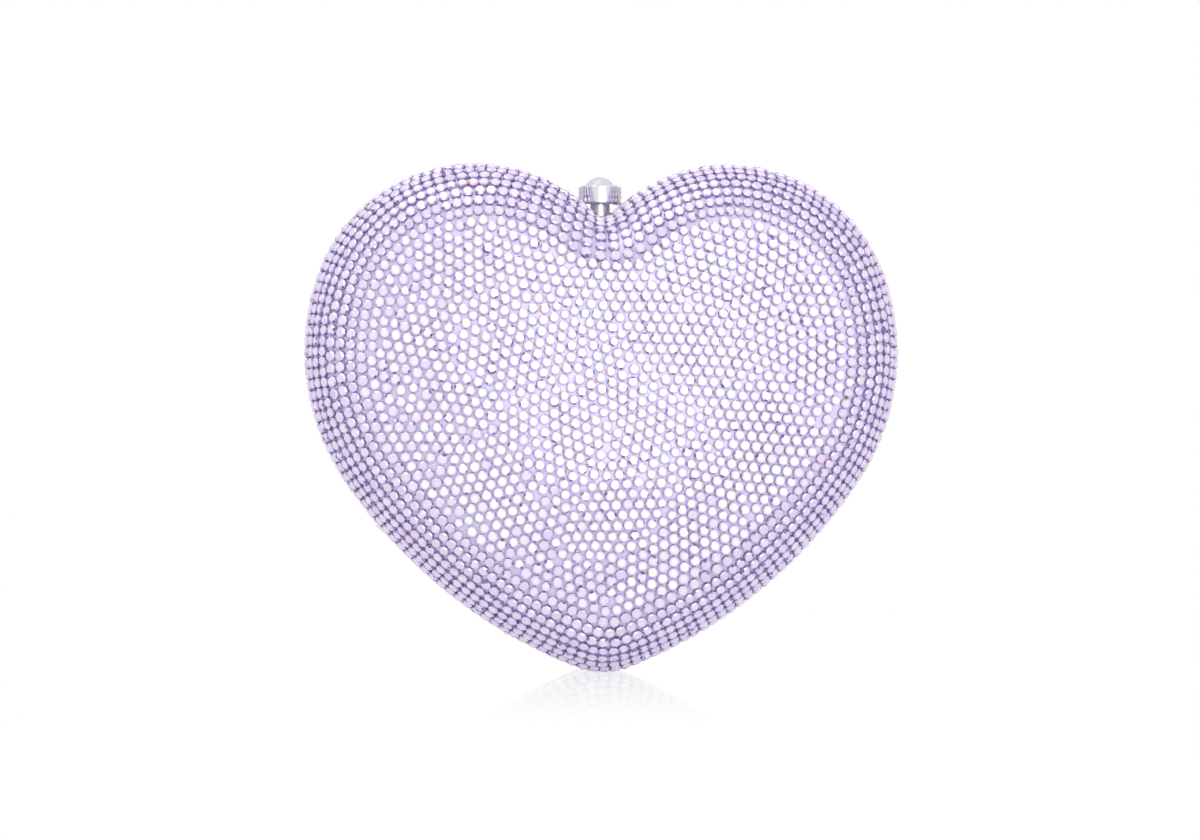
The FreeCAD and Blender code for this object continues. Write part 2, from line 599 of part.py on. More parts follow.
def rivet_pair(name, y, head_top, shank_top):
    """Two rivets driven up from below, one each side of the middle plane."""
    pair = []
    for side, x in (("left", "-Sizes.rivet_spread"), ("right", "Sizes.rivet_spread")):
        head = lock_rod(f"{name}_{side}_head", "Sizes.rivet_head_radius", f"{head_top} - Sizes.rivet_head",
                        head_top, x, y)
        shank = lock_rod(f"{name}_{side}_shank", "Sizes.rivet_radius", head_top, shank_top, x, y)
        pair.append(fuse_all(f"{name}_{side}", [head, shank]))
    group = doc.addObject("Part::Compound", name)
    group.Links = pair
    return group


def rivet_holes(name, y, start, end):
    """The two holes that a pair of rivets goes through."""
    holes = []
    for side, x in (("left", "-Sizes.rivet_spread"), ("right", "Sizes.rivet_spread")):
        holes.append(lock_rod(f"{name}_{side}", "Sizes.rivet_radius + Sizes.rivet_play", start, end, x, y))
    return fuse_all(name, holes)


def lock_pieces():
    """The block under the back rim, its bush, the spring catch and the rivets that hold it."""
    half = "Sizes.block_width / 2"
    under = "-Sizes.block_drop"
    behind = lock_box("block_behind", half, "Sizes.parting_gap / 2", "Sizes.block_back", under,
                      "Sizes.notch_radius + Sizes.overrun")
    space = heart_prism("block_space", "Sizes.rim_inset + Sizes.seat_gap", True)
    seated = boolean("Common", "block_seated", behind, space)
    ahead_end = "Sizes.parting_gap / 2 + Sizes.block_overlap"
    ahead = lock_box("block_ahead", half, "-Sizes.block_front", ahead_end, under,
                     "-Sizes.rim_inset - Sizes.lid_room")
    solid = fuse_all("block_solid", [seated, ahead])
    bush_seat = lock_rod("bush_seat", "Sizes.bush_radius + Sizes.seat_gap",
                         "Sizes.bush_foot - Sizes.seat_gap", "Sizes.notch_radius + Sizes.overrun")
    chamber_floor = "Sizes.block_floor - Sizes.block_drop"
    chamber = lock_rod("block_chamber", "Sizes.chamber_radius", chamber_floor, "Sizes.bush_foot")
    pusher_hole = lock_rod("pusher_hole", "Sizes.pusher_radius + Sizes.pusher_room",
                           f"{under} - Sizes.overrun", f"{chamber_floor} + Sizes.seat_gap")
    rivet_y = "Sizes.block_back - Sizes.rivet_margin"
    rivet_end = f"{under} + Sizes.rivet_depth"
    holes = rivet_holes("block_rivet_holes", rivet_y, f"{under} - Sizes.overrun",
                        f"{rivet_end} + Sizes.seat_gap")
    cuts = fuse_all("block_cuts", [bush_seat, chamber, pusher_hole, holes])
    bore = "Sizes.stem_radius + Sizes.stem_play"
    bush = lock_turned("guide_bush", [
        (bore, "Sizes.bush_foot"), (bore, "Sizes.bush_top"),
        ("Sizes.bush_radius", "Sizes.bush_top"), ("Sizes.bush_radius", "Sizes.bush_foot")])
    nose_top = f"{under} + Sizes.nose_height"
    strip_under = f"{under} - Sizes.catch_wall"
    nose_front = "-Sizes.nose_back - Sizes.catch_wall"
    leaf = strip("catch_strip", [
        ("Sizes.block_back", under), ("-Sizes.nose_back", under), ("-Sizes.nose_back", nose_top),
        (nose_front, nose_top), (nose_front, strip_under), ("Sizes.block_back", strip_under)],
        "Sizes.catch_width")
    set_base(leaf, "0", "0", "Sizes.notch_floor")
    catch_holes = rivet_holes("catch_holes", rivet_y, f"{under} - Sizes.overrun",
                              f"{under} + Sizes.overrun")
    return {
        "lock_block": boolean("Cut", "lock_block", solid, cuts),
        "guide_bush": bush,
        "catch_spring": boolean("Cut", "catch_spring", leaf, catch_holes),
        "catch_rivets": rivet_pair("catch_rivets", rivet_y, strip_under, rivet_end),
    }


def striker_pieces():
    """The striker that hangs in front of the block, with its foot riveted under the front shell."""
    half = "Sizes.striker_width / 2"
    high = "Sizes.notch_radius + Sizes.overrun"
    plate = lock_box("striker_plate", half, "-Sizes.striker_front", "-Sizes.striker_back",
                     "Sizes.striker_lift - Sizes.block_drop", high)
    under_rim = heart_prism("striker_rim_space", "Sizes.rim_inset + Sizes.seat_gap", False)
    foot = lock_box("striker_foot", half, "-Sizes.foot_end", "-Sizes.striker_front",
                    "Sizes.foot_under", high)
    under_shell = heart_prism("striker_shell_space", "Sizes.shell_wall + Sizes.seat_gap", False)
    solid = fuse_all("striker_solid", [boolean("Common", "striker_plate_seated", plate, under_rim),
                                       boolean("Common", "striker_foot_seated", foot, under_shell)])
    rivet_y = "Sizes.rivet_margin - Sizes.foot_end"
    shank_top = "-Sizes.shell_wall - 2 * Sizes.seat_gap"
    holes = rivet_holes("striker_holes", rivet_y, "Sizes.foot_under - Sizes.overrun", high)
    return {
        "striker": boolean("Cut", "striker", solid, holes),
        "striker_rivets": rivet_pair("striker_rivets", rivet_y, "Sizes.foot_under", shank_top),
    }


def build():
    """All the sub-parts, by the name of the node that each becomes."""
    parts, back_room = half_skins("back", "Sizes.bush_radius + Sizes.seat_gap")
    front_parts, front_room = half_skins("front", "Sizes.bush_radius + Sizes.bush_room")
    parts.update(front_parts)
    parts["back_rim"] = half_rim("back", back_room)
    parts["front_rim"] = half_rim("front", front_room)
    back_numbers = range(0, KNUCKLE_COUNT, 2)
    front_numbers = range(1, KNUCKLE_COUNT, 2)
    parts["hinge_leaf_back"] = hinge_leaf("back", back_numbers, "Sizes.pin_grip")
    parts["hinge_leaf_front"] = hinge_leaf("front", front_numbers, "Sizes.pin_play")
    parts["hinge_pin"] = hinge_pin()
    parts.update(lock_pieces())
    parts.update(striker_pieces())
    parts.update(button_pieces())
    return parts


fill_sheet()
nodes = build()
doc.recompute()
for made in doc.Objects:
    if "Invalid" in made.State or "Error" in made.State:
        raise RuntimeError(f"{made.Label} failed: {made.State}")
for label, made in nodes.items():
    made.Label = label
    if made.Shape.isNull() or not made.Shape.isValid():
        raise RuntimeError(f"{label} has no valid shape")
os.makedirs("parts", exist_ok=True)
for label, made in nodes.items():
    made.Shape.exportStep(f"parts/{label}.step")
    print(f"{label}: {len(made.Shape.Solids)} solids, {made.Shape.Volume:.1f} mm3")
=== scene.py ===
import math

import bpy
import numpy as np
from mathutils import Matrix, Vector


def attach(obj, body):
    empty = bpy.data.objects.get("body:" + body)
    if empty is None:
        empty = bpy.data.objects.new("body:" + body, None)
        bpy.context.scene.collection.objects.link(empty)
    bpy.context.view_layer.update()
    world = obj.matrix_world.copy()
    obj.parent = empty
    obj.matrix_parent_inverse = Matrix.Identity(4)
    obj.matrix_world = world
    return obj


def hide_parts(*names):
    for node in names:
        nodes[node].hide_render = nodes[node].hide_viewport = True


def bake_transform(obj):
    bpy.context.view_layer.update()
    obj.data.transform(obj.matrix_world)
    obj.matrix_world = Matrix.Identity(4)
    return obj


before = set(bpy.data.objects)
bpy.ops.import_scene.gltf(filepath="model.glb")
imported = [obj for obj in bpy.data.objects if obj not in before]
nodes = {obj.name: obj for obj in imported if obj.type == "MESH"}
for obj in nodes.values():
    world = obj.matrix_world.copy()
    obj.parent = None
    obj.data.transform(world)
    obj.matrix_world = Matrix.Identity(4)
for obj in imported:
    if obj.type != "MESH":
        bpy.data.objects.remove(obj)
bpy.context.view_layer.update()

for name in ("Cube", "Light", "Camera"):
    if name in bpy.data.objects:
        bpy.data.objects.remove(bpy.data.objects[name])
bpy.ops.object.select_all(action="DESELECT")


# The half shells: pressed brass in the shape of half a heart, coated lilac so that the ground
# between the stones shows as a pale blue lilac. The stones are glued on afterwards.

COAT_LOW, COAT_HIGH = (0.57, 0.54, 0.76), (0.75, 0.72, 0.89)
COAT_PATCHES, COAT_GRAIN, COAT_RELIEF = 900, 2600, 0.00004


class Wire:
    """One socket in a material's nodes. Arithmetic on it adds Math nodes."""

    def __init__(self, tree, socket):
        self.tree = tree
        self.socket = socket

    def node(self, kind, settings, sockets, output=0):
        """Adds a node, sets it up, gives its sockets values or links, and returns one output."""
        made = self.tree.nodes.new(kind)
        for name, setting in settings.items():
            if name == "stops":
                elements = made.color_ramp.elements
                while len(elements) < len(setting):
                    elements.new(1)
                for element, (place, color) in zip(elements, setting):
                    element.position = place
                    element.color = (*color, 1)
            else:
                setattr(made, name, setting)
        for name, value in sockets.items():
            if isinstance(value, Wire):
                self.tree.links.new(value.socket, made.inputs[name])
            else:
                made.inputs[name].default_value = value
        return Wire(self.tree, made.outputs[output])

    def calculate(self, operation, first, second):
        return self.node("ShaderNodeMath", {"operation": operation}, {0: first, 1: second})

    def __add__(self, other):
        return self.calculate("ADD", self, other)

    def __radd__(self, other):
        return self.calculate("ADD", other, self)

    def __mul__(self, other):
        return self.calculate("MULTIPLY", self, other)

    def __rmul__(self, other):
        return self.calculate("MULTIPLY", other, self)

    def noise(self, scale, detail=2.0):
        """Soft random patches over the surface, about 0.5 on average."""
        return self.node("ShaderNodeTexNoise", {},
                         {"Vector": self, "Scale": scale, "Detail": detail})

    def blend(self, low, high):
        """A colour between two, as this value goes from 0 to 1."""
        return self.node("ShaderNodeMix", {"data_type": "RGBA"},
                         {0: self, 6: (*low, 1), 7: (*high, 1)}, output=2)

    def bump(self, distance):
        """A normal that follows this value as a height, in metres."""
        return self.node("ShaderNodeBump", {},
                         {"Height": self, "Distance": distance, "Strength": 1.0})


def new_finish(name, **uniform):
    """A material with its values set, its shader, and the place on the object as a wire."""
    material = bpy.data.materials.new(name)
    material.use_nodes = True
    tree = material.node_tree
    shader = tree.nodes["Principled BSDF"]
    for socket, value in uniform.items():
        shader.inputs[socket.replace("_", " ")].default_value = value
    place = Wire(tree, tree.nodes.new("ShaderNodeTexCoord").outputs["Object"])
    return material, shader, place


def feed(shader, **wires):
    """Links what varies over the surface to the shader."""
    for socket, wire in wires.items():
        wire.tree.links.new(wire.socket, shader.inputs[socket.replace("_", " ")])


def dress(material, *names):
    """Gives CAD nodes a finish, in place of the plain one they come with."""
    for name in names:
        mesh = nodes[name].data
        mesh.materials.clear()
        mesh.materials.append(material)


def lilac_coat():
    """Coating of the shells, a little uneven where the glue lies."""
    material, shader, place = new_finish("lilac_coat", Metallic=0.3)
    patches = place.noise(COAT_PATCHES)
    feed(shader, Base_Color=patches.blend(COAT_LOW, COAT_HIGH),
         Roughness=0.25 + 0.2 * patches, Normal=place.noise(COAT_GRAIN).bump(COAT_RELIEF))
    return material


dress(lilac_coat(), "front_shell", "back_shell")


# The rims, the hinge leaves and the hinge pin: brass castings and a steel pin, plated with bright
# silver. The rims are brazed into the shells, and the leaves behind the rims along the lower left
# flank.

PLATE_HAZE, PLATE_RUBBING, RUB_STRETCH, RUB_RELIEF = 260, 1500, (1, 1, 12), 0.000008


def silver_plate(name, low, high, roughness):
    """Polished plate with a soft haze and fine rub marks."""
    material, shader, place = new_finish(name, Metallic=1.0)
    haze = place.noise(PLATE_HAZE, 4)
    stretched = place.node("ShaderNodeMapping", {}, {"Vector": place, "Scale": RUB_STRETCH})
    feed(shader, Base_Color=haze.blend(low, high), Roughness=roughness + 0.12 * haze,
         Normal=stretched.noise(PLATE_RUBBING).bump(RUB_RELIEF))
    return material


bright_silver = silver_plate("bright_silver", (0.66, 0.64, 0.62), (0.84, 0.82, 0.80), 0.08)
dress(bright_silver, "front_rim", "back_rim", "hinge_leaf_front", "hinge_leaf_back")
dress(silver_plate("pin_steel", (0.50, 0.50, 0.51), (0.68, 0.68, 0.70), 0.18), "hinge_pin")


# The stones: some thousands of round flat backed cut glass stones, foiled behind and glued to the
# shells. The setter follows the rim in straight columns, and fills the face with what is left,
# small stones in the gaps.

TIP_RADIUS, TIP_TURN = 0.0186, math.radians(22.1)
FLANK_RADIUS, FLANK_TURN = 0.127, math.radians(56.1)
SHOULDER_RADIUS, SHOULDER_TURN = 0.0576, math.radians(109.2)
LOBE_RADIUS, NOTCH_RADIUS = 0.0411, 0.0043
HALF_DEPTH, FACE_DROP, FACE_FLAT, PEAK_SHARE = 0.0287, 0.0066, 0.0007, 0.63
EDGE_ROUND, SKIN_START, OUTLINE_STEP = 0.016, 0.00265, 0.00005
STONE_HEIGHT, STONE_FLAT = 0.0013, 0.0002
STONE_RADIUS, SMALL_RADIUS, STONE_PITCH, RIM_PITCH = 0.00141, 0.00068, 0.00285, 0.00277
ROW_START, ROW_STEP, ROW_COUNT = 0.00145, 0.00272, 11
LEAST_GAP, WIDEST_GAP = 1.84 * STONE_RADIUS, 1.5 * STONE_PITCH
EVEN_ROUNDS, EVEN_RATE, ROW_LOOSENESS = 30, 0.2, 0.02
THROWS, BORDER_GAP, THROW_GAP = 40000, 0.8 * STONE_PITCH, 0.755 * STONE_PITCH
PUSH_ROUNDS, PUSH_REACH, PUSH_RATE = 140, 1.1 * STONE_PITCH, 0.28
FACE_SWELL, FILLER_THROWS = 1.04, 30000
STONE_SIDES, FOOT_RADIUS, FOOT_LEVEL = 8, 1.03, -0.08
CROWN_STEPS = (0.36, 0.985), (0.38, 0.945), (0.19, 0.68)
STONE_TILT, TABLE_LEAN, UPPER_LEAN, LOWER_LEAN = 0.035, 0.99, 0.5, 0.12
# Painted light on the stones: a painted highlight on each table, painted reflections on the upper
# crowns with a few dark ones, and painted shade on the lower crowns and feet.
TABLE_REFLECTION, TABLE_SPREAD, BRIGHT_SHARE, GLINT_SHARE = 0.86, 0.08, 0.94, 0.006
BRIGHT_REFLECTIONS, DARK_REFLECTIONS = (0.62, 0.92), (0.0, 0.35)
LOWER_SHADE, FOOT_SHADE = (0.4, 0.8), (0.1, 0.4)
# Colours of the lilac glass, from painted shade to painted highlight, and of the painted glints.
GLASS_AND_LIGHT_STOPS = [(0.0, (0.16, 0.07, 0.28)), (0.35, (0.44, 0.32, 0.64)),
               (0.65, (0.70, 0.61, 0.84)), (1.0, (0.85, 0.80, 0.92))]
GLINT_STOPS = [(0.0, (0.9, 0.25, 0.55)), (0.4, (0.95, 0.5, 0.15)),
               (0.7, (0.2, 0.75, 0.9)), (1.0, (0.25, 0.3, 0.9))]
WELL_RADIUS, WELL_RISE, BUSH_RADIUS = 0.0062, 0.003, 0.0039
draw = np.random.default_rng(5)


def heart_outline():
    """Points round the shell's outline, anticlockwise from the tip, their outward normals, the
    height of the notch's floor and half the heart's width."""
    tip = np.array([0, STONE_HEIGHT + TIP_RADIUS - STONE_FLAT])

    def hand_over(center, radius, next_radius, turn):
        """Center of the arc that goes on smoothly from another one at a turn."""
        return center + (radius - next_radius) * np.array([math.sin(turn), -math.cos(turn)])

    flank = hand_over(tip, TIP_RADIUS, FLANK_RADIUS, TIP_TURN)
    shoulder = hand_over(flank, FLANK_RADIUS, SHOULDER_RADIUS, FLANK_TURN)
    lobe = hand_over(shoulder, SHOULDER_RADIUS, LOBE_RADIUS, SHOULDER_TURN)
    rise = math.sqrt((LOBE_RADIUS + NOTCH_RADIUS) ** 2 - lobe[0] ** 2)
    notch = np.array([0, lobe[1] + rise])
    lean = math.atan2(rise, lobe[0])
    right = math.pi / 2
    arcs = [(tip, TIP_RADIUS, -right, TIP_TURN - right),
            (flank, FLANK_RADIUS, TIP_TURN - right, FLANK_TURN - right),
            (shoulder, SHOULDER_RADIUS, FLANK_TURN - right, SHOULDER_TURN - right),
            (lobe, LOBE_RADIUS, SHOULDER_TURN - right, math.pi - lean),
            (notch, -NOTCH_RADIUS, math.pi - lean, right)]
    points, normals = [], []
    for center, radius, start, end in arcs:
        count = round(abs(radius * (end - start)) / OUTLINE_STEP)
        angles = start + (end - start) * (np.arange(count) + 0.5) / count
        outward = np.stack([np.cos(angles), np.sin(angles)], axis=1)
        points.append(center + radius * outward)
        normals.append(outward)
    points, normals = np.concatenate(points), np.concatenate(normals)
    mirror = np.array([-1, 1])
    points = np.concatenate([points, points[::-1] * mirror])
    normals = np.concatenate([normals, normals[::-1] * mirror])
    return points, normals, notch[1] - NOTCH_RADIUS, shoulder[0] + SHOULDER_RADIUS


outline, outward, notch_floor, half_width = heart_outline()
face_radius = (half_width ** 2 + FACE_DROP ** 2) / (2 * FACE_DROP)
peak = np.array([0, notch_floor * PEAK_SHARE])
face_center = HALF_DEPTH + FACE_FLAT - face_radius


def on_face(places, inset=0):
    """Points in X, depth and Z on the crowned face, and the face's normals there."""
    off = places - peak
    radius = face_radius - inset
    depth = np.sqrt(radius ** 2 - (off ** 2).sum(axis=1))
    normals = np.stack([off[:, 0], depth, off[:, 1]], axis=1) / radius
    level = face_center + depth > HALF_DEPTH - inset
    normals[level] = (0, 1, 0)
    depth = np.minimum(face_center + depth, HALF_DEPTH - inset)
    return np.stack([places[:, 0], depth, places[:, 1]], axis=1), normals


def on_row(marks, distance, inset=0):
    """Points and normals at marks along the outline, a distance from the rim over the side, its
    round and the face."""
    index = np.round(marks).astype(int) % len(outline)
    point, side = outline[index], outward[index]
    side = np.stack([side[:, 0], np.zeros(len(index)), side[:, 1]], axis=1)
    ball = point - outward[index] * EDGE_ROUND
    lift = np.sqrt((face_radius - EDGE_ROUND) ** 2 - ((ball - peak) ** 2).sum(axis=1))
    up = np.stack([ball[:, 0] - peak[0], lift, ball[:, 1] - peak[1]], axis=1)
    up = up / (face_radius - EDGE_ROUND)
    ball = np.stack([ball[:, 0], face_center + lift, ball[:, 1]], axis=1)
    wall = ball[:, 1] - SKIN_START
    spread = np.arccos((side * up).sum(axis=1))
    turn = np.clip((distance - wall) / EDGE_ROUND, 0, spread)[:, None]
    spread = spread[:, None]
    normals = (np.sin(spread - turn) * side + np.sin(turn) * up) / np.sin(spread)
    points = ball + (EDGE_ROUND - inset) * normals
    points[:, 1] -= np.clip(wall - distance, 0, None)
    past = distance - wall - EDGE_ROUND * spread[:, 0]
    inside = past > 0
    if inside.any():
        flat = points[inside][:, [0, 2]] - outward[index][inside] * past[inside, None]
        points[inside], normals[inside] = on_face(flat, inset)
    return points, normals


def gaps_at(marks, distance):
    """Distance from each stone of a closed row to the next."""
    points = on_row(marks, distance)[0]
    return np.linalg.norm(np.roll(points, -1, axis=0) - points, axis=1)


def steps_along(marks):
    """Distance from each mark to the next, in samples of the outline."""
    return (np.roll(marks, -1) - marks) % len(outline)


def rim_rows():
    """Rows of stones from the rim inwards, in columns. A column ends where a row has no room."""
    columns = round(len(outline) * OUTLINE_STEP / RIM_PITCH)
    marks = np.arange(columns) * len(outline) / columns
    rows = []
    for row in range(ROW_COUNT):
        distance = ROW_START + row * ROW_STEP
        gaps = gaps_at(marks, distance)
        while gaps.min() < LEAST_GAP:
            marks = np.delete(marks, np.argmin(gaps + np.roll(gaps, 1)))
            gaps = gaps_at(marks, distance)
        wide = np.flatnonzero(gaps > WIDEST_GAP)
        marks = np.insert(marks, wide + 1, marks[wide] + steps_along(marks)[wide] / 2)
        for _ in range(EVEN_ROUNDS):
            gaps, steps = gaps_at(marks, distance), steps_along(marks)
            slack = (gaps - np.roll(gaps, 1)) / (gaps + np.roll(gaps, 1))
            marks = marks + EVEN_RATE * slack * (steps + np.roll(steps, 1))
        gaps = gaps_at(marks, distance)
        room = np.minimum(gaps, np.roll(gaps, 1)) / 2
        loose = ROW_LOOSENESS * draw.normal(0, 1, len(marks)) * steps_along(marks)
        rows.append((*on_row(marks + loose, distance), np.minimum(room, STONE_RADIUS)))
    return rows


def distances(places, others):
    """Distance from each place to each of the others."""
    return np.sqrt(((places[:, None] - others[None]) ** 2).sum(axis=2))


def within(places, edge):
    """Whether each place is inside a closed edge, by the sides that a line to the right crosses."""
    step = np.roll(edge, -1, axis=0) - edge
    height = places[:, 1, None]
    rises = (edge[:, 1] > height) != (np.roll(edge[:, 1], -1) > height)
    with np.errstate(divide="ignore", invalid="ignore"):
        cross = edge[:, 0] + (height - edge[:, 1]) / step[:, 1] * step[:, 0]
    return (rises & (places[:, 0, None] < cross)).sum(axis=1) % 2 == 1


def face_stones(border):
    """Places and radii on the face inside the border rows: thrown at random, pushed apart until
    they sit close, then small stones in the holes that are left."""
    edge = border[-1][0][:, [0, 2]]
    fixed = np.concatenate([row[0][:, [0, 2]] for row in border[-2:]])
    low, high = edge.min(axis=0), edge.max(axis=0)
    thrown = low + draw.random((THROWS, 2)) * (high - low)
    thrown = thrown[within(thrown, edge)]
    thrown = thrown[distances(thrown, fixed).min(axis=1) > BORDER_GAP]
    kept = thrown[:1]
    for place in thrown[1:]:
        if ((kept - place) ** 2).sum(axis=1).min() > THROW_GAP ** 2:
            kept = np.concatenate([kept, place[None]])
    for _ in range(PUSH_ROUNDS):
        every = np.concatenate([kept, fixed])
        away = kept[:, None] - every[None]
        apart = distances(kept, every)
        np.fill_diagonal(apart, 1)
        push = np.clip(PUSH_REACH - apart, 0, None) / apart
        kept = kept + PUSH_RATE * (away * push[:, :, None]).sum(axis=1)
    kept = kept[within(kept, edge)]
    every = np.concatenate([kept, fixed])
    apart = distances(kept, every)
    np.fill_diagonal(apart, 1)
    room = np.clip(apart.min(axis=1) / 2, None, STONE_RADIUS * FACE_SWELL)
    spots, sizes = np.empty((0, 2)), np.empty(0)
    holes = low + draw.random((FILLER_THROWS, 2)) * (high - low)
    holes = holes[within(holes, edge)]
    for place in holes[distances(holes, every).min(axis=1) > STONE_RADIUS + SMALL_RADIUS]:
        space = np.sqrt(((every - place) ** 2).sum(axis=1)).min() - STONE_RADIUS
        if len(spots):
            space = min(space, np.min(np.sqrt(((spots - place) ** 2).sum(axis=1)) - sizes))
        if space > SMALL_RADIUS:
            spots = np.concatenate([spots, place[None]])
            sizes = np.append(sizes, min(space, STONE_RADIUS))
    return np.concatenate([kept, spots]), np.concatenate([room, sizes])


def lay_stones():
    """Points, normals and radii of all the stones of a half, clear of the button's well."""
    border = rim_rows()
    places, room = face_stones(border)
    laid = border + [(*on_face(places), room)]
    points, normals, radii = (np.concatenate(column) for column in zip(*laid))
    reach = np.hypot(points[:, 0], points[:, 1])
    in_well = points[:, 2] > notch_floor + WELL_RISE - STONE_HEIGHT
    in_well &= reach < WELL_RADIUS + STONE_RADIUS
    in_bush = points[:, 2] > notch_floor - STONE_HEIGHT
    in_bush &= reach < BUSH_RADIUS + STONE_RADIUS
    clear = ~(in_well | in_bush)
    return points[clear], normals[clear], radii[clear]


def one_stone():
    """A stone of radius 1, modelled once: its foot, a steep lower crown, a flat upper crown and a
    level table."""
    bpy.ops.mesh.primitive_circle_add(vertices=STONE_SIDES, radius=FOOT_RADIUS, fill_type="NGON",
                                      location=(0, 0, FOOT_LEVEL))
    stone = bpy.context.object
    bpy.ops.object.transform_apply()
    bpy.ops.object.mode_set(mode="EDIT")
    for rise, shrink in CROWN_STEPS:
        bpy.ops.mesh.extrude_region_move(TRANSFORM_OT_translate={"value": (0, 0, rise)})
        bpy.ops.transform.resize(value=(shrink, shrink, 1))
    bpy.ops.mesh.select_all(action="SELECT")
    bpy.ops.mesh.normals_make_consistent(inside=False)
    bpy.ops.object.mode_set(mode="OBJECT")
    return stone


def settled_facets(pattern):
    """The stone's facets in the same order each run. Extruding starts each tier at any side."""
    def tier(facet):
        return round(facet.center.z, 3)

    tiers = {}
    for facet in sorted(pattern.data.polygons, key=lambda facet: sorted(facet.vertices)):
        tiers.setdefault(tier(facet), []).append(facet)
    return [tiers[tier(facet)].pop(0) for facet in pattern.data.polygons]


def painted_facet_light(lean, count):
    """Painted reflection or painted shade on one facet of each stone, by how far the facet faces
    up.
    """
    if lean > TABLE_LEAN:
        return np.clip(draw.normal(TABLE_REFLECTION, TABLE_SPREAD, count), 0, 1)
    if lean > UPPER_LEAN:
        return np.where(draw.random(count) < BRIGHT_SHARE, draw.uniform(*BRIGHT_REFLECTIONS, count),
                        draw.uniform(*DARK_REFLECTIONS, count))
    return draw.uniform(*(LOWER_SHADE if lean > LOWER_LEAN else FOOT_SHADE), count)


def set_stones(name, pattern, points, normals, radii, turned):
    """One object of all the stones of a half: the pattern set at each point, square to the
    surface, and turned round for the back."""
    shape = np.array([corner.co for corner in pattern.data.vertices])
    facets = settled_facets(pattern)
    faces = [list(facet.vertices) for facet in facets]
    leans = np.array([facet.normal.z for facet in facets])
    count = len(points)
    normals = normals + draw.normal(0, STONE_TILT, normals.shape)
    normals /= np.linalg.norm(normals, axis=1)[:, None]
    across = np.cross(normals, draw.normal(0, 1, normals.shape))
    across /= np.linalg.norm(across, axis=1)[:, None]
    along = np.cross(normals, across)
    corners = points[:, None] + radii[:, None, None] * (
        shape[None, :, 0, None] * across[:, None] + shape[None, :, 1, None] * along[:, None]
        + shape[None, :, 2, None] * normals[:, None])
    corners = corners * ((-1, 1, 1) if turned else (1, -1, 1))
    mesh = bpy.data.meshes.new(name)
    mesh.from_pydata(corners.reshape(-1, 3).tolist(), [],
                     [[number * len(shape) + corner for corner in face[::-1]]
                      for number in range(count) for face in faces])
    # Each facet gets a painted reflection or painted shade, and a few sloped facets get a painted
    # glint of colour.
    painted_tones = np.stack([painted_facet_light(lean, count) for lean in leans], axis=1)
    # A few sloped facets get a painted glint of colour.
    sloped = (leans > UPPER_LEAN) & (leans < TABLE_LEAN)
    glinting = (draw.random((count, len(faces))) < GLINT_SHARE) & sloped
    painted_glints = np.where(glinting, draw.random((count, len(faces))), 0)
    for attribute, values in (("tone", painted_tones), ("fire", painted_glints)):
        layer = mesh.attributes.new(attribute, "FLOAT", "FACE")
        layer.data.foreach_set("value", values.ravel())
    piece = bpy.data.objects.new(name, mesh)
    bpy.context.collection.objects.link(piece)
    return piece


def cut_glass():
    """Lilac glass over foil, with painted reflections and painted shade on its facets, and on a few
    a painted glint of colour.
    """
    material, shader, place = new_finish("cut_glass", Metallic=0.5, Coat_Weight=0.08,
                                         Coat_Roughness=0.1)
    tone, fire = (place.node("ShaderNodeAttribute", {"attribute_name": name}, {}, output="Fac")
                  for name in ("tone", "fire"))
    glass = place.node("ShaderNodeValToRGB", {"stops": GLASS_AND_LIGHT_STOPS}, {"Fac": tone})
    # Painted glints of colour on a few facets, in place of the glass colour.
    glint_color = place.node("ShaderNodeValToRGB", {"stops": GLINT_STOPS}, {"Fac": fire})
    lit = fire.calculate("GREATER_THAN", fire, 0.0)
    color = place.node("ShaderNodeMix", {"data_type": "RGBA"}, {0: lit, 6: glass, 7: glint_color},
                       output=2)
    feed(shader, Base_Color=color, Roughness=0.2 + 0.2 * place.noise(700))
    return material


stone_pattern = one_stone()
glass = cut_glass()
stone_layout = lay_stones()
for half, turned in (("front", False), ("back", True)):
    stones = set_stones(half + "_stone_setting", stone_pattern, *stone_layout, turned)
    stones.data.materials.append(glass)
    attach(stones, half + "_half")
    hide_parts(half + "_stones")
bpy.data.objects.remove(stone_pattern)


# The linings: thin kid leather, skived at the edge and glued into each half over a thin pad, with
# a window cut for the lock. Their edge is turned under behind the flange of the rim.

LINING_INSET, LINING_WALL, LINING_START, LINING_REACH = 0.00112, 0.00074, 0.0067, 0.0295
LINING_COLUMNS, LINING_ROWS, LINING_FACE_ROWS = 240, 16, 16
LINING_MERGE, LINING_SMOOTH = 0.00002, math.radians(50)
FRONT_WINDOW, BACK_WINDOW = (0.0045, 0.0128, 0.0169), (0.007, 0.0125, 0.0169)
LEATHER_LOW, LEATHER_HIGH = (0.42, 0.37, 0.52), (0.55, 0.50, 0.64)
LEATHER_GRAIN, LEATHER_CREASES, LEATHER_MOTTLE, LEATHER_RELIEF = 1400, 500, 120, 0.00012


